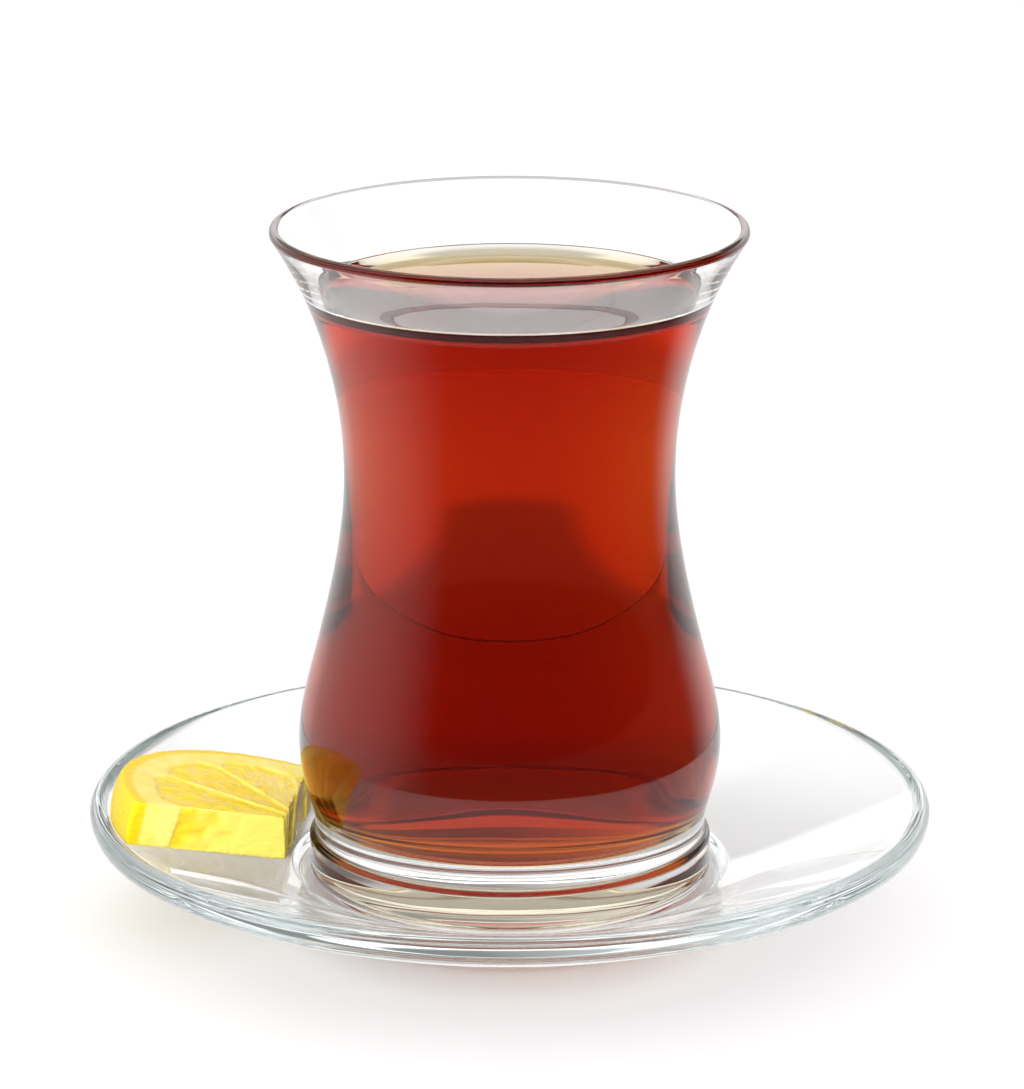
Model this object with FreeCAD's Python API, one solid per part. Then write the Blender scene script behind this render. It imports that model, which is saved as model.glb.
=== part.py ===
import FreeCAD, Part
import math
import os
from FreeCAD import Rotation, Vector

# A waisted tea glass filled with tea, standing on its glass saucer with a piece of a thick lemon slice.
# Millimetres. The table is z = 0, +Z is up, the glass stands on the z axis and the front is -Y.

# Saucer
SAUCER_D = 110.0
SAUCER_H = 14.5
SAUCER_WALL = 2.6
DISH_SAG = 0.5
SEAT_Z = 4.0
SEAT_R = 27.4
STEP_R = 28.9
STEP_Z = 5.5
FOOT_RING_R = 27.2
FOOT_RING_W = 3.0
UNDERSIDE_Z = 1.3

# Glass: its height, its radii outside, and how far up its height each of them is
GLASS_H = 86.6
RIM_R = 30.65
WAIST_R = 21.4
BELLY_R = 27.57
SHOULDER_R = 25.8
TAPER_R = 22.66
FLARE_R = 24.16
MOUTH_R = 26.05
BELLY_AT = 0.2
SHOULDER_AT = 0.33
TAPER_AT = 0.485
WAIST_AT = 0.62
FLARE_AT = 0.83
MOUTH_AT = 0.89
WALL = 2.0
RIM_SLOPE_DEG = 32.0

# Glass foot
FOOT_R = 26.3
FOOT_H = 5.6
NOTCH_R = 25.6
NOTCH_Z = 7.1
FOOT_EDGE = 1.2
LOWER_R = 26.45
LOWER_Z = 11.3
BASE_THICK = 8.6
BASE_HOLLOW_R = 21.0
BASE_HOLLOW_H = 1.0
INNER_CORNER = 5.0

# Tea: its level above the foot of the glass, and the hair's breadth that keeps it clear of the wall
TEA_LEVEL = 77.3
TEA_CLEARANCE = 0.05

# Lemon slice: its centre and the way its cut faces in plan, then how it leans on the saucer
SLICE_R = 25.3
SLICE_THICK = 6.0
SLICE_BULGE = 0.5
SLICE_X = -27.4
SLICE_Y = -9.2
SLICE_CUT_DEG = 208.3
SLICE_TILT_DEG = 15.6
SLICE_FALL_DEG = 11.0
SLICE_GAP_TO_GLASS = 0.4
SLICE_TRIM_DEG = 175.0
SEATED_WITHIN = 0.01


def at(radius, height):
    """A point of a turned outline, in the XZ plane."""
    return Vector(radius, 0, height)


def turned(edges):
    """The solid swept by a closed outline once round the z axis."""
    wire = Part.Wire(Part.__sortEdges__(edges))
    solid = Part.Face(wire).revolve(Vector(0, 0, 0), Vector(0, 0, 1), 360)
    if solid.ShapeType != "Solid":
        solid = solid.Solids[0]
    return solid


def line(start, end):
    return Part.makeLine(start, end)


def arc(start, middle, end):
    return Part.Arc(start, middle, end).toShape()


def smooth(points, start_heading, end_heading):
    """A smooth curve through points that sets off and arrives with the given headings."""
    curve = Part.BSplineCurve()
    curve.interpolate(Points=points, InitialTangent=start_heading, FinalTangent=end_heading)
    return curve.toShape()


def side_curve(inset, low_points, heading):
    """The glass's side from its lowest points up to the rim, moved inwards by the inset."""
    lean = math.radians(RIM_SLOPE_DEG)
    points = low_points + [
        at(BELLY_R - inset, GLASS_H * BELLY_AT),
        at(SHOULDER_R - inset, GLASS_H * SHOULDER_AT),
        at(TAPER_R - inset, GLASS_H * TAPER_AT),
        at(WAIST_R - inset, GLASS_H * WAIST_AT),
        at(FLARE_R - inset, GLASS_H * FLARE_AT),
        at(MOUTH_R - inset / math.cos(lean), GLASS_H * MOUTH_AT),
        rim_point(inset),
    ]
    return smooth(points, heading, at(math.sin(lean), math.cos(lean)))


def rim_point(inset):
    """Where the side, moved inwards by the inset, runs into the rounded rim."""
    lean = math.radians(RIM_SLOPE_DEG)
    side = WALL / 2 - inset
    return at(RIM_R - WALL / 2 + side * math.cos(lean), GLASS_H - WALL / 2 - side * math.sin(lean))


def rim_top():
    lean = math.radians(RIM_SLOPE_DEG)
    half = WALL / 2
    return at(RIM_R - half + half * math.sin(lean), GLASS_H - half + half * math.cos(lean))


def inner_edges(clearance=0.0):
    """The inside, from the rim down the wall and round the corner to the middle of the floor."""
    inset = WALL + clearance
    floor_z = BASE_THICK + clearance
    floor_end = at(BELLY_R - inset - INNER_CORNER, floor_z)
    wall_start = at(BELLY_R - inset - INNER_CORNER * 0.12, floor_z + INNER_CORNER * 0.6)
    heading = at(0.25, 1)
    wall = side_curve(inset, [wall_start], heading)
    corner = smooth([floor_end, wall_start], at(1, 0), heading)
    return [wall, corner, line(at(0, floor_z), floor_end)]


def foot_edges():
    """The foot from the notch under the belly, round the shoulder and under to the z axis."""
    notch = at(NOTCH_R, NOTCH_Z)
    shoulder = at(FOOT_R, FOOT_H)
    side_end = at(FOOT_R, FOOT_EDGE)
    turn = FOOT_EDGE * (1 - math.sqrt(0.5))
    bottom_start = at(FOOT_R - FOOT_EDGE, 0)
    hollow_start = at(BASE_HOLLOW_R, 0)
    hollow_mid = at(BASE_HOLLOW_R * 0.6, BASE_HOLLOW_H * 0.7)
    hollow = smooth([hollow_start, hollow_mid, at(0, BASE_HOLLOW_H)], at(-1, 0.15), at(-1, 0))
    return [
        arc(notch, at(NOTCH_R + 0.15, (NOTCH_Z + FOOT_H) / 2), shoulder),
        line(shoulder, side_end),
        arc(side_end, at(FOOT_R - turn, turn), bottom_start),
        line(bottom_start, hollow_start),
        hollow,
    ]


def make_glass():
    outside = side_curve(0, [at(NOTCH_R, NOTCH_Z), at(LOWER_R, LOWER_Z)], at(0, 1))
    rim = arc(rim_point(0), rim_top(), rim_point(WALL))
    axis = line(at(0, BASE_HOLLOW_H), at(0, BASE_THICK))
    glass = turned([outside, rim, axis] + inner_edges() + foot_edges())
    glass.translate(Vector(0, 0, SEAT_Z))
    return glass


def make_tea():
    """What fills the inside of the glass, up to the level of the drink."""
    floor = at(0, BASE_THICK + TEA_CLEARANCE)
    mouth = rim_point(WALL + TEA_CLEARANCE)
    lid = line(mouth, at(0, mouth.z))
    inside = turned(inner_edges(TEA_CLEARANCE) + [lid, line(at(0, mouth.z), floor)])
    tea = inside.common(Part.makeCylinder(RIM_R * 2, TEA_LEVEL)).Solids[0]
    tea.translate(Vector(0, 0, SEAT_Z))
    return tea


def make_saucer():
    outer_r = SAUCER_D / 2
    half = SAUCER_WALL / 2
    lip = at(outer_r - half, SAUCER_H - half)
    lip_in = at(lip.x - half * math.cos(math.radians(55)), lip.z + half * math.sin(math.radians(55)))
    lip_out = at(outer_r, lip.z)
    lip_top = at(lip.x + half * math.sin(math.radians(17)), lip.z + half * math.cos(math.radians(17)))
    step = at(STEP_R, STEP_Z)
    dish_mid = (step + lip_in) * 0.5 - at(0, DISH_SAG)
    under_start = at(FOOT_RING_R + 1.0, UNDERSIDE_Z)
    under_end = at(outer_r - 1.4, SAUCER_H - half - SAUCER_WALL)
    under_mid = (under_start + under_end) * 0.5 - at(0, DISH_SAG)
    ring_in = FOOT_RING_R - FOOT_RING_W
    return turned([
        line(at(0, SEAT_Z), at(SEAT_R, SEAT_Z)),
        line(at(SEAT_R, SEAT_Z), step),
        arc(step, dish_mid, lip_in),
        arc(lip_in, lip_top, lip_out),
        line(lip_out, under_end),
        arc(under_end, under_mid, under_start),
        line(under_start, at(FOOT_RING_R, 0)),
        line(at(FOOT_RING_R, 0), at(ring_in, 0)),
        line(at(ring_in, 0), at(ring_in - 1.0, UNDERSIDE_Z)),
        line(at(ring_in - 1.0, UNDERSIDE_Z), at(0, UNDERSIDE_Z)),
        line(at(0, UNDERSIDE_Z), at(0, SEAT_Z)),
    ])


def half_space(normal_deg, distance):
    """A big block whose near face stands `distance` from the z axis, square to the given way in plan."""
    size = 4 * SAUCER_D
    block = Part.makeBox(size, size, size, Vector(distance, -size / 2, -size / 2))
    block.rotate(Vector(0, 0, 0), Vector(0, 0, 1), normal_deg)
    return block


def make_lemon_slice(saucer):
    """A round slice cut straight through its middle and trimmed beside the glass, resting on the saucer."""
    slice_disc = turned([
        line(at(0, 0), at(SLICE_R, 0)),
        arc(at(SLICE_R, 0), at(SLICE_R + SLICE_BULGE, SLICE_THICK / 2), at(SLICE_R, SLICE_THICK)),
        line(at(SLICE_R, SLICE_THICK), at(0, SLICE_THICK)),
        line(at(0, SLICE_THICK), at(0, 0)),
    ])
    piece = slice_disc.common(half_space(SLICE_CUT_DEG - 90, 0))
    fall = math.radians(SLICE_FALL_DEG)
    hinge = Vector(-math.sin(fall), math.cos(fall), 0)
    piece.Placement = FreeCAD.Placement(
        Vector(SLICE_X, SLICE_Y, SAUCER_H),
        Rotation(hinge, SLICE_TILT_DEG),
    ).multiply(piece.Placement)
    glass_side = max(BELLY_R, LOWER_R, FOOT_R) + SLICE_GAP_TO_GLASS
    piece = piece.common(half_space(SLICE_TRIM_DEG, glass_side)).Solids[0]
    while True:
        gap = piece.distToShape(saucer)[0]
        if gap < SEATED_WITHIN:
            return piece
        piece.translate(Vector(0, 0, -gap))


def save(name, solid):
    if not solid.isValid() or len(solid.Solids) != 1:
        raise ValueError(name + " is not one valid solid")
    solid.exportStep(os.path.join("parts", name + ".step"))
    box = solid.optimalBoundingBox()
    print(name, "volume", round(solid.Volume / 1000, 2), "ml, z", round(box.ZMin, 2), "to", round(box.ZMax, 2))


os.makedirs("parts", exist_ok=True)
saucer = make_saucer()
save("saucer", saucer)
save("glass", make_glass())
save("tea", make_tea())
save("lemon_slice", make_lemon_slice(saucer))
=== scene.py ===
import math

import bmesh
import bpy
import numpy as np
from mathutils import Matrix, Vector, noise


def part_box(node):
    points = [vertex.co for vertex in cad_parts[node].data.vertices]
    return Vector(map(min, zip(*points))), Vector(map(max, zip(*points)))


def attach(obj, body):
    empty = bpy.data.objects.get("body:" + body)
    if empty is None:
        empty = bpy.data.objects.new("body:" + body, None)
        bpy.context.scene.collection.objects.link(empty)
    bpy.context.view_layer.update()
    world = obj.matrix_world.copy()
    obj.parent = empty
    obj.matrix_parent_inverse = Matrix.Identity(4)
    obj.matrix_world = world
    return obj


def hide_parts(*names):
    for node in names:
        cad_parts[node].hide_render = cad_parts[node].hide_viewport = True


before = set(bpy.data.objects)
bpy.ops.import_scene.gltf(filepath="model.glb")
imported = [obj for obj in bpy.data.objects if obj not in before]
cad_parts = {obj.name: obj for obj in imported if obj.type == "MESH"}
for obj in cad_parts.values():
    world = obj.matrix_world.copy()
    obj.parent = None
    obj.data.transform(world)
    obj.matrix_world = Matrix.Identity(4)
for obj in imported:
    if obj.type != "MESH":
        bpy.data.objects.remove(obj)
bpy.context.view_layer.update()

# A waisted glass of tea on its clear saucer, with a piece of a thick lemon slice.
# Metres, in the part's own frame: the table is z = 0 and the glass stands on the z axis.

MM = 0.001

# Sizes that the frame's boxes give
GLASS_LOW, GLASS_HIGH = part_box("glass")
SAUCER_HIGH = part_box("saucer")[1]
TEA_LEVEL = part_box("tea")[1].z
FOOT_Z = GLASS_LOW.z
GLASS_H = GLASS_HIGH.z - GLASS_LOW.z
RIM_R = GLASS_HIGH.x
SAUCER_R = SAUCER_HIGH.x
SAUCER_H = SAUCER_HIGH.z

# The glass: outer radius at each share of its height
SIDE = [
    (0.2, 27.57 * MM),
    (0.33, 25.8 * MM),
    (0.485, 22.66 * MM),
    (0.62, 21.4 * MM),
    (0.83, 24.16 * MM),
]
MOUTH_AT = 0.89
MOUTH_R = 26.05 * MM

# Its wall, which thins from a share of the height up to the rim, and the rim
WALL = 2.0 * MM
RIM_WALL = 1.4 * MM
THINS_FROM = 0.33
RIM_LEAN = math.radians(32)

# Its foot, the notch above the foot, and its thick base
FOOT_R = 26.3 * MM
FOOT_H = 5.6 * MM
FOOT_EDGE = 1.2 * MM
SHOULDER_EDGE = 0.5 * MM
SHOULDER_END_DEG = 70
NOTCH_R = 25.6 * MM
NOTCH_Z = 7.1 * MM
LOWER_R = 26.45 * MM
LOWER_Z = 11.3 * MM
BASE_THICK = 8.6 * MM
BASE_HOLLOW_R = 21.0 * MM
BASE_HOLLOW_H = 1.0 * MM
INNER_CORNER = 5.0 * MM
CONTACT_AIR = 0.04 * MM

# The tea reaches just into the wall, and its surface climbs the wall
INTO_WALL = 0.15 * MM
MENISCUS_H = 1.3 * MM
MENISCUS_W = 1.1 * MM
MENISCUS_RINGS_MM = [0, 0.1, 0.2, 0.35, 0.5, 0.75, 1, 1.4, 1.9, 2.6, 3.5, 5, 7, 10, 14]

# The saucer
SEAT_Z = FOOT_Z
SEAT_R = 27.4 * MM
STEP_R = 28.9 * MM
STEP_Z = 5.5 * MM
SAUCER_WALL = 2.6 * MM
LIP_LEAN_DEG = 55
LIP_EDGE = 1.4 * MM
DISH_SAG = 0.5 * MM
FOOT_RING_R = 27.2 * MM
FOOT_RING_W = 3.0 * MM
RING_EDGE = 0.4 * MM
RING_SLOPE = 1.0 * MM
UNDERSIDE_Z = 1.3 * MM

# How finely the turned pieces are cut: steps along the outline, faces round the axis, waviness
STEP_LONG = 0.65 * MM
STEP_SMALL = 0.15 * MM
STEP_FINE = 0.1 * MM
TURNS = 256
WAVINESS = 0.012 * MM

# The whole lemon slice: its centre in plan and how it leans
SLICE_X = -27.4 * MM
SLICE_Y = -9.2 * MM
SLICE_TILT_DEG = 15.6
SLICE_FALL_DEG = 11
SLICE_GRAIN = 0.3 * MM

# Its layers, in its own millimetres: the rind and pith inwards from the edge, and the ten segments
SLICE_R_MM = 25.3
RIND_MM = 1.5
RIND_BLEND_MM = 0.35
PITH_MM = 3.3
PITH_BLEND_MM = 0.3
CORE_MM = (1.6, 2.4)
MEMBRANE_MM = (0.16, 0.42)
SEGMENT_END_MM = 1.6
SEGMENT_TURN = 2 * math.pi / 10
SEGMENT_SHIFT = 0.3

# How deep its surface sinks, in millimetres
SINK_ALL = 0.05
SINK_ROUGH = 0.1
SINK_FLESH = 0.1
SINK_SEAMS = 0.26
SINK_PORES = 0.12
PORE_SIZE = (0.08, 0.3)

# Lemon colours
RIND_COLOUR = (0.963, 0.667, 0.0048)
RIND_SHADE = (0.915, 0.593, 0.0036)
PITH_COLOUR = (0.98, 0.82, 0.22)
PITH_SHADE = (0.97, 0.76, 0.12)
MEMBRANE = (0.98, 0.8, 0.15)
FLESH = (0.98, 0.73, 0.03)
FLESH_SEAM = (0.95, 0.66, 0.02)
FLESH_DEEP = (0.92, 0.62, 0.01)
ROUGH_SKIN = 0.5
ROUGH_FLESH = 0.22

# Clear materials: how strongly they bend light, the colour they leave it, and how much per metre
GLASS_IOR = 1.5
TEA_IOR = 1.333
TEA_COLOUR = (0.936, 0.705, 0.0)
TEA_DENSITY = 370.0
SAUCER_COLOUR = (0.70, 0.92, 0.93)
SAUCER_DENSITY = 3.5

# The tea's top: how far up a face has to look, and how far below the level it may lie
TOP_FACING = 0.12
TOP_DEPTH = 0.5 * MM

# Brightness of the surroundings
DIM = 0.03
DIM_THROUGH_GLASS = 0.14
LEFT_BRIGHT = 0.85
BACK_BRIGHT = 1.0
BACK_HIGH = 0.3
ABOVE_BRIGHT = 1.2
STRIP_BRIGHT = 0.8
ON_FLOOR = 0.86
SKY_COLOUR = (1.0, 0.985, 0.98)

# Where each bright part of the surroundings starts and is full, as shares of one along its axis
LEFT_TOWARDS = (-0.87, 0.5, 0)
LEFT_FADE = (0.1, 0.9)
BACK_FADE = (0.35, 0.8)
BACK_TOP_FADE = (0.27, 0.33)
ABOVE_FADE = (0.45, 0.8)
STRIP_BOTTOM_FADE = (0.06, 0.2)
STRIP_TOP_FADE = (0.26, 0.32)
STRIP_BACK_FADE = (0.2, 0.8)

# The key, from the front, and the card that keeps it off the floor before the foot
KEY = 3.9
KEY_AZIMUTH_DEG = 180
KEY_ELEVATION_DEG = 27
KEY_SPREAD_DEG = 4
CARD_SHADES = (0, -0.006, 0)
CARD_AWAY = 0.2
CARD_HALF = (0.024, 0.0105)

# The amber light through the tea
TEA_GLOW = 3.0
TEA_GLOW_COLOUR = (1.0, 0.42, 0.16)
TEA_GLOW_CONE_DEG = 6.2
TEA_GLOW_SIZE = 0.01
TEA_GLOW_ELEVATION_DEG = 65
TEA_GLOW_AWAY = 0.5
TEA_GLOW_AT = (0.003, -0.010, 0)

# The floor and the camera
FLOOR_R = 4.0
FLOOR_Z = -0.02 * MM
FLOOR_COLOUR = (0.88, 0.88, 0.88)
LENS = 168.2
SENSOR = 36.0
CAMERA_AIM = (0.3 * MM, 0, 48.26 * MM)
CAMERA_ELEVATION_DEG = 16.1
CAMERA_DISTANCE = 658.8 * MM


# Outlines and turned shapes

def smooth_line(points, start, end, step=STEP_LONG):
    """Points along the smooth curve through `points`, with the given headings at its two ends."""
    p = np.array(points, float)
    h = np.hypot(*np.diff(p, axis=0).T)
    n = len(p)
    a = np.zeros((n, n))
    b = np.zeros((n, 2))
    a[0, 0] = a[-1, -1] = 1
    b[0] = np.array(start) / np.hypot(*start)
    b[-1] = np.array(end) / np.hypot(*end)
    for i in range(1, n - 1):
        a[i, i - 1] = 1 / h[i - 1]
        a[i, i] = 2 / h[i - 1] + 2 / h[i]
        a[i, i + 1] = 1 / h[i]
        b[i] = 3 * ((p[i] - p[i - 1]) / h[i - 1] ** 2 + (p[i + 1] - p[i]) / h[i] ** 2)
    m = np.linalg.solve(a, b)
    out = []
    for i in range(n - 1):
        t = np.linspace(0, 1, max(2, int(h[i] / step)), endpoint=False)[:, None]
        out.append(
            (2 * t**3 - 3 * t**2 + 1) * p[i]
            + (t**3 - 2 * t**2 + t) * h[i] * m[i]
            + (3 * t**2 - 2 * t**3) * p[i + 1]
            + (t**3 - t**2) * h[i] * m[i + 1]
        )
    return [tuple(q) for q in np.vstack(out)] + [tuple(p[-1])]


def arc(centre, radius, start_deg, end_deg, steps=12):
    """Points round a circle in the outline's plane, angles from +r towards +z."""
    turn = np.radians(np.linspace(start_deg, end_deg, steps + 1))
    return [(centre[0] + radius * math.cos(t), centre[1] + radius * math.sin(t)) for t in turn]


def straight(start, end, step=0.5 * MM):
    count = max(2, int(math.dist(start, end) / step))
    start = np.array(start)
    way = np.array(end) - start
    return [tuple(start + way * i / count) for i in range(count + 1)]


def joined(*runs):
    """One outline out of several runs, without the doubled points where they meet."""
    out = []
    for run in runs:
        for q in run:
            if not out or math.dist(out[-1], q) > 1e-7:
                out.append(q)
    return out


def turned(name, outline, waviness=0.0):
    """A closed mesh swept by an outline that ends on the z axis, or that closes on itself."""
    closed = outline[0][0] > 1e-6
    if closed and math.dist(outline[0], outline[-1]) < 1e-7:
        outline = outline[:-1]
    mesh = bpy.data.meshes.new(name)
    bm = bmesh.new()
    rings = []
    for r, z in outline:
        if r < 1e-6:
            rings.append([bm.verts.new((0, 0, z))])
            continue
        ring = []
        for k in range(TURNS):
            a = 2 * math.pi * k / TURNS
            wave = math.sin(3 * a + 40 * z + 0.7)
            wave += 0.6 * math.sin(5 * a - 90 * z)
            wave += 0.35 * math.sin(11 * a + 60 * z)
            rr = r + waviness * wave
            ring.append(bm.verts.new((rr * math.cos(a), rr * math.sin(a), z)))
        rings.append(ring)
    pairs = list(zip(rings, rings[1:])) + ([(rings[-1], rings[0])] if closed else [])
    for low, high in pairs:
        for k in range(TURNS):
            j = (k + 1) % TURNS
            if len(low) == 1:
                bm.faces.new((low[0], high[j], high[k]))
            elif len(high) == 1:
                bm.faces.new((low[k], low[j], high[0]))
            else:
                bm.faces.new((low[k], low[j], high[j], high[k]))
    bmesh.ops.recalc_face_normals(bm, faces=bm.faces)
    for face in bm.faces:
        face.smooth = True
    bm.to_mesh(mesh)
    bm.free()
    piece = bpy.data.objects.new(name, mesh)
    bpy.context.scene.collection.objects.link(piece)
    return piece


# Outlines of the glass, the tea and the saucer

def rim_point(inset):
    """Where the side ends at the rim, moved inwards by the inset."""
    side = RIM_WALL * (0.5 - inset / WALL)
    return (
        RIM_R - RIM_WALL / 2 + side * math.cos(RIM_LEAN),
        FOOT_Z + GLASS_H - RIM_WALL / 2 - side * math.sin(RIM_LEAN),
    )


def thinner(share):
    """How much of its full thickness the wall has at a share of the height."""
    return 1 - (1 - RIM_WALL / WALL) * max(0.0, share - THINS_FROM) / (1 - THINS_FROM)


def side(inset, low_points, heading):
    """The glass's side from its lowest points up to the rim, moved inwards by the inset."""
    points = list(low_points)
    for share, r in SIDE:
        points.append((r - inset * thinner(share), FOOT_Z + GLASS_H * share))
    mouth_inset = inset * thinner(MOUTH_AT) / math.cos(RIM_LEAN)
    points.append((MOUTH_R - mouth_inset, FOOT_Z + GLASS_H * MOUTH_AT))
    points.append(rim_point(inset))
    return smooth_line(points, heading, (math.sin(RIM_LEAN), math.cos(RIM_LEAN)))


def inside(inset):
    """The inside, from the middle of the floor, round the corner and up the wall to the rim."""
    floor_z = FOOT_Z + BASE_THICK + inset - WALL
    belly = SIDE[0][1] - inset
    floor_end = (belly - INNER_CORNER, floor_z)
    wall_start = (belly - INNER_CORNER * 0.12, floor_z + INNER_CORNER * 0.6)
    heading = (0.25, 1)
    return joined(
        straight((0, floor_z), floor_end),
        smooth_line([floor_end, wall_start], (1, 0), heading),
        side(inset, [wall_start], heading),
    )


def glass_outline():
    """From the middle of the underside over the foot, up the side, over the rim and down inside."""
    low = FOOT_Z + CONTACT_AIR
    hollow_mid = (BASE_HOLLOW_R * 0.6, low + BASE_HOLLOW_H * 0.7)
    hollow_end = (BASE_HOLLOW_R, low)
    hollow = smooth_line([(0, low + BASE_HOLLOW_H), hollow_mid, hollow_end], (1, 0), (1, -0.15))
    foot_corner = arc((FOOT_R - FOOT_EDGE, low + FOOT_EDGE), FOOT_EDGE, -90, 0)
    shoulder_z = FOOT_Z + FOOT_H
    shoulder_middle = (FOOT_R - SHOULDER_EDGE, shoulder_z - SHOULDER_EDGE)
    shoulder = arc(shoulder_middle, SHOULDER_EDGE, 0, SHOULDER_END_DEG)
    notch = (NOTCH_R, FOOT_Z + NOTCH_Z)
    lower = (LOWER_R, FOOT_Z + LOWER_Z)
    into_notch = smooth_line([shoulder[-1], notch], (-1, 0.35), (0, 1), STEP_SMALL)
    outside = side(0, [notch, lower], (0, 1))
    lean = math.degrees(RIM_LEAN)
    rim_middle = (RIM_R - RIM_WALL / 2, FOOT_Z + GLASS_H - RIM_WALL / 2)
    rim = arc(rim_middle, RIM_WALL / 2, -lean, 180 - lean, 20)
    return joined(
        hollow,
        straight(hollow_end, foot_corner[0]),
        foot_corner,
        straight(foot_corner[-1], shoulder[0]),
        shoulder,
        into_notch,
        outside,
        rim,
        list(reversed(inside(WALL))),
    )


def tea_outline():
    """From the middle of the floor up inside the wall to the level, then in over the meniscus."""
    top = TEA_LEVEL + MENISCUS_H
    wall = [q for q in inside(WALL - INTO_WALL) if q[1] < top]
    edge_r = wall[-1][0]
    surface = []
    for gap in MENISCUS_RINGS_MM:
        r = edge_r - INTO_WALL - gap * MM
        surface.append((r, TEA_LEVEL + MENISCUS_H * math.exp(-gap * MM / MENISCUS_W)))
    middle = straight(surface[-1], (0, TEA_LEVEL), 1.5 * MM)
    return joined(wall, [(edge_r, top)], surface, middle)


def saucer_outline():
    """From the middle of the seat, out over the dish and its lip, and back underneath."""
    half = SAUCER_WALL / 2
    lip = (SAUCER_R - half, SAUCER_H - half)
    lean = math.radians(LIP_LEAN_DEG)
    lip_in = (lip[0] - half * math.cos(lean), lip[1] + half * math.sin(lean))
    step = (STEP_R, STEP_Z)
    rise = (lip_in[0] - step[0], lip_in[1] - step[1])
    dish_mid = ((step[0] + lip_in[0]) / 2, (step[1] + lip_in[1]) / 2 - DISH_SAG)
    under_out = (SAUCER_R - LIP_EDGE, SAUCER_H - half - SAUCER_WALL)
    under_in = (FOOT_RING_R + RING_SLOPE, UNDERSIDE_Z)
    under_mid = ((under_in[0] + under_out[0]) / 2, (under_in[1] + under_out[1]) / 2 - DISH_SAG)
    ring_in = FOOT_RING_R - FOOT_RING_W
    ring_out_edge = (FOOT_RING_R - RING_EDGE, 0)
    ring_in_edge = (ring_in + RING_EDGE, 0)
    ring_in_top = (ring_in - RING_SLOPE, UNDERSIDE_Z)
    return joined(
        straight((0, SEAT_Z), (SEAT_R, SEAT_Z)),
        smooth_line([(SEAT_R, SEAT_Z), step], (1, 0), (1, 0.2), STEP_FINE),
        smooth_line([step, dish_mid, lip_in], (1, 0.2), (rise[0], rise[1] * 1.15)),
        arc(lip, half, 180 - LIP_LEAN_DEG, 0, 18),
        smooth_line([(SAUCER_R, lip[1]), under_out], (0, -1), (-1, -0.45), STEP_SMALL),
        smooth_line([under_out, under_mid, under_in], (-1, -0.45), (-1, -0.25)),
        smooth_line([under_in, ring_out_edge], (-1, -0.25), (-1, 0), STEP_FINE),
        straight(ring_out_edge, ring_in_edge),
        smooth_line([ring_in_edge, ring_in_top], (-1, 0), (-1, 0.1), STEP_FINE),
        straight(ring_in_top, (0, UNDERSIDE_Z)),
    )


# Materials

def new_material(name):
    material = bpy.data.materials.new(name)
    material.use_nodes = True
    tree = material.node_tree
    tree.nodes.clear()
    out = tree.nodes.new("ShaderNodeOutputMaterial")
    shader = tree.nodes.new("ShaderNodeBsdfPrincipled")
    tree.links.new(shader.outputs["BSDF"], out.inputs["Surface"])
    return material, tree, shader, out


def separate(tree, vector):
    split = tree.nodes.new("ShaderNodeSeparateXYZ")
    tree.links.new(vector, split.inputs["Vector"])
    return split.outputs


def math_node(tree, operation, *values):
    """The output of a sum on sockets and plain numbers."""
    node = tree.nodes.new("ShaderNodeMath")
    node.operation = operation
    for socket, value in zip(node.inputs, values):
        if isinstance(value, (int, float)):
            socket.default_value = value
        else:
            tree.links.new(value, socket)
    return node.outputs["Value"]


def ramp(tree, value, start, end, low, high):
    """A value carried smoothly from low at the start to high at the end."""
    node = tree.nodes.new("ShaderNodeMapRange")
    node.interpolation_type = "SMOOTHSTEP"
    tree.links.new(value, node.inputs["Value"])
    ends = {"From Min": start, "From Max": end, "To Min": low, "To Max": high}
    for name, number in ends.items():
        node.inputs[name].default_value = number
    return node.outputs["Result"]


def noise_texture(tree, place, scale, detail):
    node = tree.nodes.new("ShaderNodeTexNoise")
    node.inputs["Scale"].default_value = scale
    node.inputs["Detail"].default_value = detail
    tree.links.new(place, node.inputs["Vector"])
    return node.outputs["Fac"]


def clear_material(name, ior):
    """Clear glass or liquid: the name, and how strongly it bends light against what it touches."""
    material, tree, shader, out = new_material(name)
    shader.inputs["Base Color"].default_value = (1, 1, 1, 1)
    shader.inputs["Roughness"].default_value = 0.0
    shader.inputs["IOR"].default_value = ior
    shader.inputs["Transmission Weight"].default_value = 1.0
    return material, tree, shader, out


def pressed_surface(tree, shader, scale, strength):
    """The faint unevenness of pressed glass, which shows only in what is seen through it."""
    place = tree.nodes.new("ShaderNodeTexCoord")
    swell = noise_texture(tree, place.outputs["Object"], scale, 2.0)
    bump = tree.nodes.new("ShaderNodeBump")
    bump.inputs["Strength"].default_value = strength
    bump.inputs["Distance"].default_value = 0.2 * MM
    tree.links.new(swell, bump.inputs["Height"])
    tree.links.new(bump.outputs["Normal"], shader.inputs["Normal"])


def absorb(tree, out, colour, density):
    """A colour that comes from the depth of glass or liquid, per metre."""
    volume = tree.nodes.new("ShaderNodeVolumeAbsorption")
    volume.inputs["Color"].default_value = (*colour, 1)
    volume.inputs["Density"].default_value = density
    tree.links.new(volume.outputs["Volume"], out.inputs["Volume"])


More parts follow.
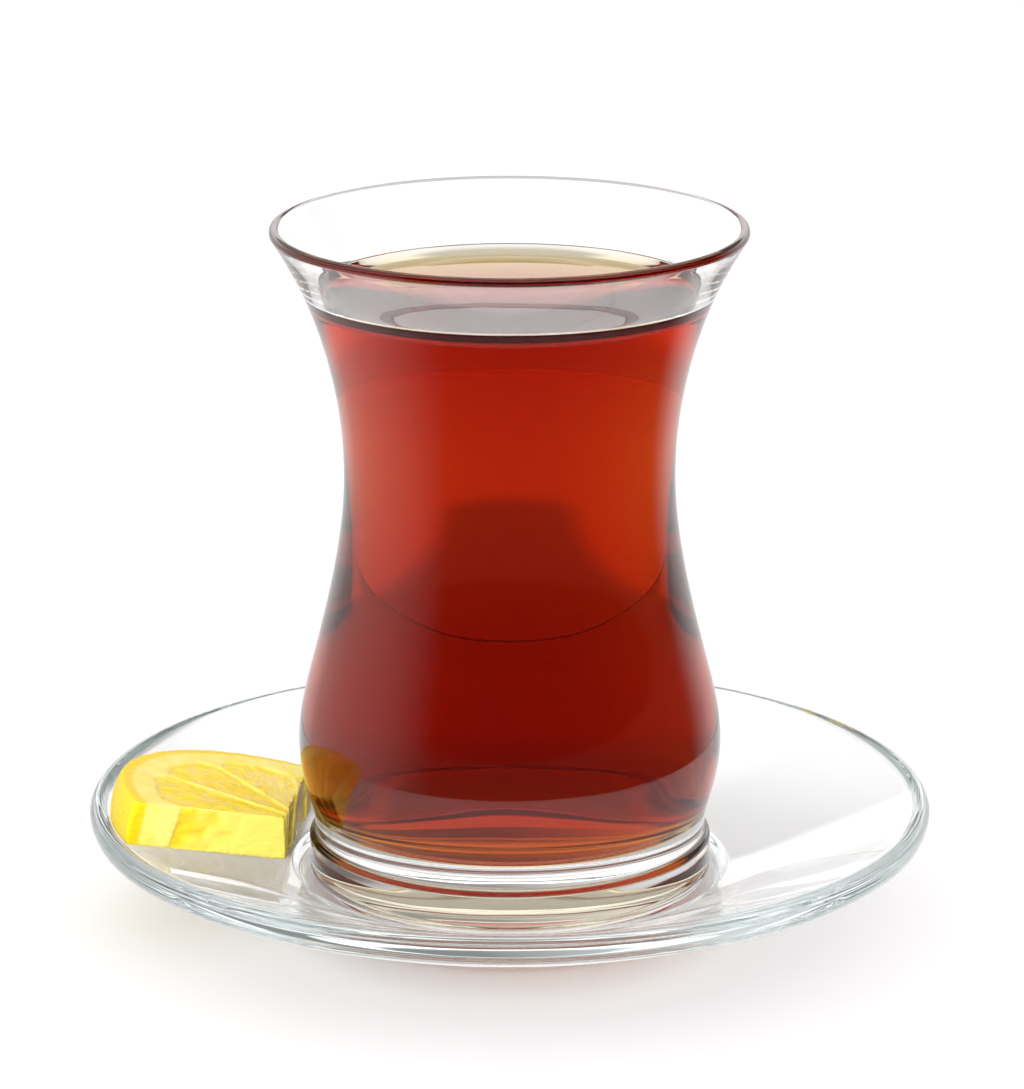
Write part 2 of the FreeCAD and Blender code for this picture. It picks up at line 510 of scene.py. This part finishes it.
def tea_material():
    """The tea's top bends light as it should; its sides leave that to the wet glass they touch."""
    material, tree, shader, out = clear_material("tea", TEA_IOR)
    absorb(tree, out, TEA_COLOUR, TEA_DENSITY)
    surface = tree.nodes.new("ShaderNodeNewGeometry")
    place = tree.nodes.new("ShaderNodeTexCoord")
    facing_up = math_node(tree, "ABSOLUTE", separate(tree, surface.outputs["Normal"])["Z"])
    flat = math_node(tree, "GREATER_THAN", facing_up, TOP_FACING)
    height = separate(tree, place.outputs["Object"])["Z"]
    high = math_node(tree, "GREATER_THAN", height, TEA_LEVEL - TOP_DEPTH)
    top = math_node(tree, "MULTIPLY", flat, high)
    bends = math_node(tree, "MULTIPLY_ADD", top, TEA_IOR - 1, 1.0)
    tree.links.new(bends, shader.inputs["IOR"])
    return material


def wet_the_inside(piece, material):
    """The faces that the tea touches get their own material."""
    piece.data.materials.append(material)
    floor_z = FOOT_Z + BASE_THICK - 0.2 * MM
    for face in piece.data.polygons:
        x, y, z = face.center
        outward = (face.normal.x * x + face.normal.y * y) / max(math.hypot(x, y), 1e-6)
        if floor_z < z < TEA_LEVEL + MENISCUS_H and outward < 0.5:
            face.material_index = 1


def dress(piece, material, node):
    """The piece gets its material, and stands for its node."""
    piece.data.materials.clear()
    piece.data.materials.append(material)
    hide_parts(node)
    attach(piece, "root")


# The lemon piece

def step_up(x, low, high):
    """0 below low, 1 above high, and smooth between."""
    t = min(1.0, max(0.0, (x - low) / (high - low)))
    return t * t * (3 - 2 * t)


def slice_home(mesh):
    """Where the whole slice lies: its own axis is z, and its lower face is z = 0."""
    fall = math.radians(SLICE_FALL_DEG)
    hinge = Vector((-math.sin(fall), math.cos(fall), 0))
    lean = Matrix.Rotation(math.radians(SLICE_TILT_DEG), 4, hinge)
    axis = lean.to_3x3() @ Vector((0, 0, 1))
    middle = Vector((SLICE_X, SLICE_Y, 0))
    lowest = min(axis.dot(v.co - middle) for v in mesh.vertices) / axis.z
    return Matrix.Translation((SLICE_X, SLICE_Y, lowest)) @ lean


def fine_copy(name, node):
    """The node's shape again as an even fine mesh with softened edges."""
    source = bpy.data.objects[node]
    plain = bpy.data.objects.new(name, source.data.copy())
    plain.matrix_world = source.matrix_world
    bpy.context.scene.collection.objects.link(plain)
    remesh = plain.modifiers.new("even", "REMESH")
    remesh.mode = "VOXEL"
    remesh.voxel_size = SLICE_GRAIN
    soften = plain.modifiers.new("soften", "SMOOTH")
    soften.factor = 0.5
    soften.iterations = 4
    bpy.context.view_layer.update()
    ready = plain.evaluated_get(bpy.context.evaluated_depsgraph_get())
    mesh = bpy.data.meshes.new_from_object(ready)
    mesh.transform(plain.matrix_world)
    bpy.data.objects.remove(plain)
    piece = bpy.data.objects.new(name, mesh)
    bpy.context.scene.collection.objects.link(piece)
    return piece


def lemon_layers(x, y, z):
    """How far a place on the slice, in its own millimetres, is rind, flesh and membrane."""
    rho = math.hypot(x, y)
    turn = math.atan2(y, x)
    wobble = noise.noise(Vector((turn * 3, z * 0.25, 1.7)))
    rind_edge = SLICE_R_MM - RIND_MM
    rind = step_up(rho + 0.25 * wobble, rind_edge - RIND_BLEND_MM, rind_edge + RIND_BLEND_MM)
    share = (turn / SEGMENT_TURN + SEGMENT_SHIFT + 0.05 * math.sin(3 * turn)) % 1.0
    beside = rho * abs(math.sin((share if share < 0.5 else share - 1) * SEGMENT_TURN))
    skin = beside + 0.12 * noise.noise(Vector((rho * 0.5, turn * 2, z * 0.4)))
    rounding = SEGMENT_END_MM * math.exp(-((beside / SEGMENT_END_MM) ** 2))
    flesh_end = rind_edge - PITH_MM + 0.6 * wobble - rounding
    inside_pith = step_up(flesh_end - rho, -PITH_BLEND_MM, PITH_BLEND_MM)
    inside_pith *= step_up(rho, *CORE_MM)
    membrane = 1 - step_up(skin, *MEMBRANE_MM)
    return rho, turn, rind, inside_pith * (1 - membrane), inside_pith * membrane


def vesicle(rho, turn, z):
    """0 in the seams between the juice sacs and 1 on their backs; they point at the middle."""
    place = Vector((rho * 0.28, turn * 15, z * 0.75))
    near = noise.voronoi(place)[0]
    return min(1.0, 1.6 * (near[1] - near[0]))


def make_lemon():
    """The lemon piece, with its layers as attributes and its rind, flesh and seams sunk into it."""
    piece = fine_copy("lemon_piece", "lemon_slice")
    mesh = piece.data
    back = slice_home(mesh).inverted()
    layers = {name: [] for name in ("rind", "flesh", "membrane")}
    places = []
    moved = []
    for v in mesh.vertices:
        x, y, z = (back @ v.co) / MM
        rho, turn, rind, flesh, membrane = lemon_layers(x, y, z)
        sac = vesicle(rho, turn, z)
        pores = noise.voronoi(Vector((turn * 16, rho * 0.8, z * 1.1)))[0][0]
        rough = 0.5 + 0.5 * noise.noise(Vector((x, y, z)) * 0.8)
        sunk = SINK_ALL + SINK_ROUGH * rough
        sunk += flesh * (SINK_FLESH + SINK_SEAMS * (1 - sac))
        sunk += rind * SINK_PORES * (1 - step_up(pores, *PORE_SIZE))
        moved.append(v.co - v.normal * sunk * MM)
        places.append((rho, turn * SLICE_R_MM, z))
        for name, value in (("rind", rind), ("flesh", flesh), ("membrane", membrane)):
            layers[name].append(value)
    for v, place in zip(mesh.vertices, moved):
        v.co = place
    for name, values in layers.items():
        mesh.attributes.new(name, "FLOAT", "POINT").data.foreach_set("value", values)
    own = mesh.attributes.new("own_place", "FLOAT_VECTOR", "POINT")
    own.data.foreach_set("vector", [c for place in places for c in place])
    for face in mesh.polygons:
        face.use_smooth = True
    mesh.update()
    return piece


def attribute(tree, name):
    node = tree.nodes.new("ShaderNodeAttribute")
    node.attribute_name = name
    return node.outputs


def blend_colours(tree, factor, first, second):
    """A mix of two colours, each a socket or three numbers."""
    node = tree.nodes.new("ShaderNodeMix")
    node.data_type = "RGBA"
    tree.links.new(factor, node.inputs["Factor"])
    for socket, value in ((node.inputs[6], first), (node.inputs[7], second)):
        if isinstance(value, tuple):
            socket.default_value = (*value, 1)
        else:
            tree.links.new(value, socket)
    return node.outputs[2]


def lemon_material():
    """Rind, pith, membranes and juice sacs, each where its attribute says."""
    material, tree, shader, _ = new_material("lemon")
    own = attribute(tree, "own_place")["Vector"]
    stretch = tree.nodes.new("ShaderNodeMapping")
    stretch.inputs["Scale"].default_value = (0.28, 0.6, 0.75)
    tree.links.new(own, stretch.inputs["Vector"])
    sacs = tree.nodes.new("ShaderNodeTexVoronoi")
    sacs.feature = "DISTANCE_TO_EDGE"
    sacs.inputs["Scale"].default_value = 1.0
    tree.links.new(stretch.outputs["Vector"], sacs.inputs["Vector"])
    cloud = noise_texture(tree, own, 0.35, 4.0)
    grain = noise_texture(tree, own, 3.0, 3.0)

    seams = ramp(tree, sacs.outputs["Distance"], 0.0, 0.3, 0, 1)
    flesh = blend_colours(tree, seams, FLESH_SEAM, FLESH)
    flesh = blend_colours(tree, ramp(tree, cloud, 0.42, 0.62, 0, 0.5), flesh, FLESH_DEEP)
    pith = blend_colours(tree, ramp(tree, cloud, 0.35, 0.65, 0, 1), PITH_COLOUR, PITH_SHADE)
    body = blend_colours(tree, attribute(tree, "flesh")["Fac"], pith, flesh)
    body = blend_colours(tree, attribute(tree, "membrane")["Fac"], body, MEMBRANE)
    rind = blend_colours(tree, ramp(tree, grain, 0.35, 0.7, 0, 1), RIND_COLOUR, RIND_SHADE)
    body = blend_colours(tree, attribute(tree, "rind")["Fac"], body, rind)
    tree.links.new(body, shader.inputs["Base Color"])

    wet = ramp(tree, attribute(tree, "flesh")["Fac"], 0, 1, ROUGH_SKIN, ROUGH_FLESH)
    tree.links.new(wet, shader.inputs["Roughness"])
    shader.inputs["Subsurface Weight"].default_value = 0.45
    shader.inputs["Subsurface Radius"].default_value = (1.0, 0.8, 0.25)
    shader.inputs["Subsurface Scale"].default_value = 1.6 * MM
    bump = tree.nodes.new("ShaderNodeBump")
    bump.inputs["Strength"].default_value = 0.35
    bump.inputs["Distance"].default_value = 0.15 * MM
    tree.links.new(math_node(tree, "ADD", seams, grain), bump.inputs["Height"])
    tree.links.new(bump.outputs["Normal"], shader.inputs["Normal"])
    return material


# Stage, lights and camera

def disc(name, radius, segments):
    mesh = bpy.data.meshes.new(name)
    bm = bmesh.new()
    bmesh.ops.create_circle(bm, cap_ends=True, segments=segments, radius=radius)
    bm.to_mesh(mesh)
    bm.free()
    return bpy.data.objects.new(name, mesh)


def make_floor():
    floor = disc("floor", FLOOR_R, 96)
    floor.location.z = FLOOR_Z
    bpy.context.scene.collection.objects.link(floor)
    material, _, shader, _ = new_material("pale_floor")
    shader.inputs["Base Color"].default_value = (*FLOOR_COLOUR, 1)
    shader.inputs["Roughness"].default_value = 0.7
    shader.inputs["Specular IOR Level"].default_value = 0.2
    floor.data.materials.append(material)
    floor.visible_glossy = False
    return floor


def make_world():
    """Soft surroundings: bright behind, above and to the left, dim low in front, no hard edges.

    A bright strip low behind lights the tea's surface. Glass mirrors a darker front than it
    shows through itself, and the floor gets a smaller share of it all.
    """
    world = bpy.data.worlds.new("studio")
    bpy.context.scene.world = world
    world.use_nodes = True
    tree = world.node_tree
    facing = tree.nodes.new("ShaderNodeTexCoord").outputs["Generated"]
    towards = tree.nodes.new("ShaderNodeVectorMath")
    towards.operation = "DOT_PRODUCT"
    towards.inputs[1].default_value = LEFT_TOWARDS
    tree.links.new(facing, towards.inputs[0])
    axes = separate(tree, facing)
    kind = tree.nodes.new("ShaderNodeLightPath").outputs
    mirrored = kind["Is Glossy Ray"]
    refracted = kind["Is Transmission Ray"]
    around = math_node(tree, "MULTIPLY_ADD", refracted, DIM_THROUGH_GLASS - DIM, DIM)
    left = ramp(tree, towards.outputs["Value"], *LEFT_FADE, 0, LEFT_BRIGHT)
    back = ramp(tree, axes["Y"], *BACK_FADE, 0, BACK_BRIGHT)
    back_top = ramp(tree, axes["Z"], *BACK_TOP_FADE, 1, BACK_HIGH)
    back = math_node(tree, "MULTIPLY", back, back_top)
    above = ramp(tree, axes["Z"], *ABOVE_FADE, 0, ABOVE_BRIGHT)
    strip_bottom = ramp(tree, axes["Z"], *STRIP_BOTTOM_FADE, 0, 1)
    strip_top = ramp(tree, axes["Z"], *STRIP_TOP_FADE, 1, 0)
    strip_back = ramp(tree, axes["Y"], *STRIP_BACK_FADE, 0, STRIP_BRIGHT)
    strip = math_node(tree, "MULTIPLY", strip_bottom, strip_top)
    strip = math_node(tree, "MULTIPLY", strip, strip_back)
    for part in (left, back, above):
        around = math_node(tree, "MAXIMUM", around, part)
    seen = math_node(tree, "ADD", around, strip)
    on_things = math_node(tree, "MAXIMUM", mirrored, refracted)
    share = math_node(tree, "MULTIPLY_ADD", on_things, 1 - ON_FLOOR, ON_FLOOR)
    background = tree.nodes["Background"]
    background.inputs["Color"].default_value = (*SKY_COLOUR, 1)
    tree.links.new(math_node(tree, "MULTIPLY", seen, share), background.inputs["Strength"])


def make_camera():
    lens = bpy.data.cameras.new("camera")
    lens.sensor_width = SENSOR
    lens.sensor_fit = "AUTO"
    lens.lens = LENS
    lens.clip_start = 0.05
    camera = bpy.data.objects.new("camera", lens)
    aim = Vector(CAMERA_AIM)
    away = math.radians(CAMERA_ELEVATION_DEG)
    camera.location = aim + Vector((0, -math.cos(away), math.sin(away))) * CAMERA_DISTANCE
    camera.rotation_euler = (aim - camera.location).to_track_quat("-Z", "Y").to_euler()
    bpy.context.scene.collection.objects.link(camera)
    bpy.context.scene.camera = camera


def lamp_place(azimuth_deg, elevation_deg, distance):
    """A place round the glass, azimuth from straight behind it, clockwise from above."""
    a = math.radians(azimuth_deg)
    e = math.radians(elevation_deg)
    flat = distance * math.cos(e)
    return (flat * math.sin(a), flat * math.cos(a), distance * math.sin(e))


def towards_key():
    return Vector(lamp_place(KEY_AZIMUTH_DEG, KEY_ELEVATION_DEG, 1))


def collection_of(name, pieces):
    group = bpy.data.collections.new(name)
    for piece in pieces:
        group.objects.link(piece)
    return group


def hide_in_glass(lamp):
    """The lamp itself shows neither in reflections nor through glass."""
    lamp.visible_glossy = False
    lamp.visible_transmission = False


def key_light(blockers):
    """A far key; only the blockers stop it, so that it reaches the floor through clear glass."""
    lamp = bpy.data.lights.new("key", "SUN")
    lamp.energy = KEY
    lamp.angle = math.radians(KEY_SPREAD_DEG)
    key = bpy.data.objects.new("key", lamp)
    key.rotation_euler = (-towards_key()).to_track_quat("-Z", "Z").to_euler()
    hide_in_glass(key)
    bpy.context.scene.collection.objects.link(key)
    key.light_linking.blocker_collection = collection_of("key_blockers", blockers)


def flag():
    """A small card that keeps the key off the floor before the foot, in the tea's own shade."""
    card = disc("flag", 1.0, 64)
    card.location = Vector(CARD_SHADES) + towards_key() * CARD_AWAY
    card.scale = (*CARD_HALF, 1)
    card.rotation_euler = towards_key().to_track_quat("Z", "Y").to_euler()
    for kind in ("camera", "diffuse", "glossy", "transmission", "volume_scatter"):
        setattr(card, "visible_" + kind, False)
    bpy.context.scene.collection.objects.link(card)
    return card


def tea_glow(floor):
    """The amber light that comes down through the tea and lands on the floor before the glass."""
    lamp = bpy.data.lights.new("tea_glow", "SPOT")
    lamp.energy = TEA_GLOW
    lamp.color = TEA_GLOW_COLOUR
    lamp.spot_size = math.radians(TEA_GLOW_CONE_DEG)
    lamp.spot_blend = 1.0
    lamp.shadow_soft_size = TEA_GLOW_SIZE
    glow = bpy.data.objects.new("tea_glow", lamp)
    glow.location = lamp_place(0, TEA_GLOW_ELEVATION_DEG, TEA_GLOW_AWAY)
    glow.rotation_euler = (Vector(TEA_GLOW_AT) - glow.location).to_track_quat("-Z", "Z").to_euler()
    hide_in_glass(glow)
    bpy.context.scene.collection.objects.link(glow)
    lit = collection_of("lit_by_tea", [floor])
    glow.light_linking.receiver_collection = lit
    glow.light_linking.blocker_collection = lit


def settle_render():
    scene = bpy.context.scene
    scene.view_settings.view_transform = "Standard"
    scene.view_settings.look = "None"
    scene.cycles.max_bounces = 40
    scene.cycles.transmission_bounces = 32
    scene.cycles.glossy_bounces = 32
    scene.cycles.diffuse_bounces = 4
    scene.cycles.volume_bounces = 0
    scene.cycles.caustics_reflective = True
    scene.cycles.caustics_refractive = True
    scene.cycles.sample_clamp_indirect = 8.0


def make_glass():
    glass = turned("tea_glass", glass_outline(), WAVINESS)
    clear_glass, tree, shader, _ = clear_material("clear_glass", GLASS_IOR)
    pressed_surface(tree, shader, 60.0, 0.25)
    dress(glass, clear_glass, "glass")
    wet_the_inside(glass, clear_material("wet_glass", GLASS_IOR / TEA_IOR)[0])


def make_saucer():
    saucer = turned("clear_saucer", saucer_outline(), WAVINESS)
    saucer_glass, tree, shader, out = clear_material("saucer_glass", GLASS_IOR)
    absorb(tree, out, SAUCER_COLOUR, SAUCER_DENSITY)
    pressed_surface(tree, shader, 45.0, 0.3)
    dress(saucer, saucer_glass, "saucer")


make_camera()
floor = make_floor()
make_world()
settle_render()

make_glass()
make_saucer()
tea = turned("black_tea", tea_outline())
dress(tea, tea_material(), "tea")
lemon = make_lemon()
dress(lemon, lemon_material(), "lemon_slice")

key_light([tea, lemon, flag()])
tea_glow(floor)
